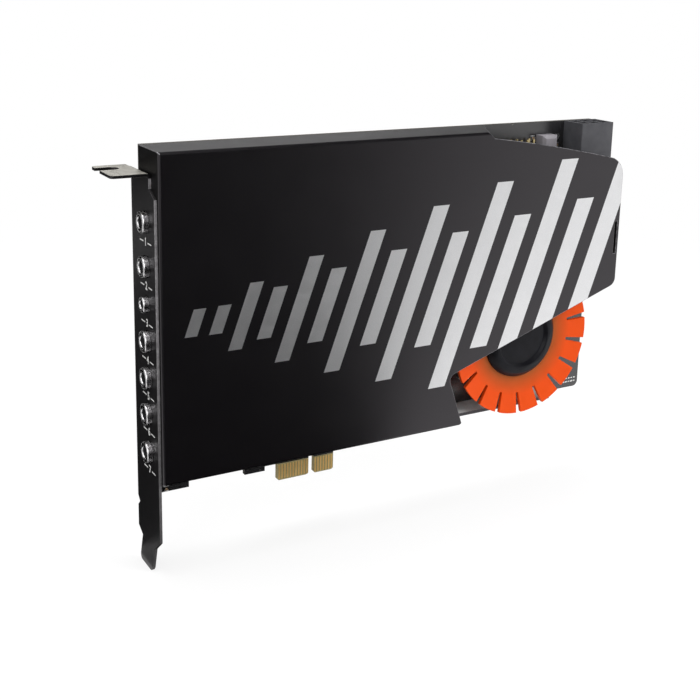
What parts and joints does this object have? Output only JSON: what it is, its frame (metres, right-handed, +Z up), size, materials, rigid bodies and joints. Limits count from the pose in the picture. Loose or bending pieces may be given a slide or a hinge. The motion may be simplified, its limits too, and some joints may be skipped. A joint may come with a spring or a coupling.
{
  "type": "sound card",
  "caption": "Half-length computer sound card: slotted-in circuit board with gold edge tab, black sheet cover, orange slotted ring and a slot bracket with round audio jacks.",
  "frame": {"origin": "middle of the edge tab's key notch, at the tab's lower edge, in the board's mid-plane", "axes": "+X along the board away from the bracket, -Y the component side, +Z up out of the slot"},
  "size_m": [0.1782, 0.0231, 0.1265],
  "materials": {
    "bracket_paint": "satin black paint, bare pale metal on the flange",
    "cover_paint": "satin black with silver print",
    "board_mask": "black solder mask on glass fibre board",
    "gold_contact": "gold plate",
    "plated_barrel": "bright nickel plate",
    "black_moulding": "moulded, fine grain",
    "orange_moulding": "satin moulded, slightly translucent",
    "hub_moulding": "satin black",
    "screw_steel": "zinc plated",
    "pillar_brass": "turned",
    "pin_metal": "tin and gold plate",
    "chip_moulding": "fine matt epoxy",
    "can_aluminium": "satin can, black base",
    "oscillator_can": "bright lid",
    "relay_moulding": "pale grey",
    "inductor_ferrite": "pressed ferrite",
    "lamp_lens": "pale lens"
  },
  "bodies": {
    "root": {"circuit_board": "board_mask", "edge_contacts_front": "gold_contact", "edge_contacts_back": "gold_contact", "bracket": "bracket_paint", "bracket_screws": "screw_steel", "shroud": "cover_paint", "shroud_standoffs": "pillar_brass", "shroud_screws": "screw_steel", "accent_ring": "orange_moulding", "ring_hub": "hub_moulding", "ring_lights": "lamp_lens", "power_header": "black_moulding", "power_pins": "pin_metal", "front_audio_header": "black_moulding", "front_audio_pins": "pin_metal", "audio_processor": "chip_moulding", "firmware_memory": "chip_moulding", "clock_oscillator": "oscillator_can", "output_converter": "chip_moulding", "input_converter": "chip_moulding", "headphone_amplifier": "chip_moulding", "op_amps": "chip_moulding", "relays": "relay_moulding", "electrolytic_capacitors": "can_aluminium", "power_inductors": "inductor_ferrite", "voltage_regulators": "chip_moulding", "jack_barrel_1": "plated_barrel", "jack_body_1": "black_moulding", "jack_barrel_2": "plated_barrel", "jack_body_2": "black_moulding", "jack_barrel_3": "plated_barrel", "jack_body_3": "black_moulding", "jack_barrel_4": "plated_barrel", "jack_body_4": "black_moulding", "jack_barrel_5": "plated_barrel", "jack_body_5": "black_moulding", "jack_barrel_6": "plated_barrel", "jack_body_6": "black_moulding", "jack_barrel_7": "plated_barrel", "jack_body_7": "black_moulding"}
  },
  "joints": []
}
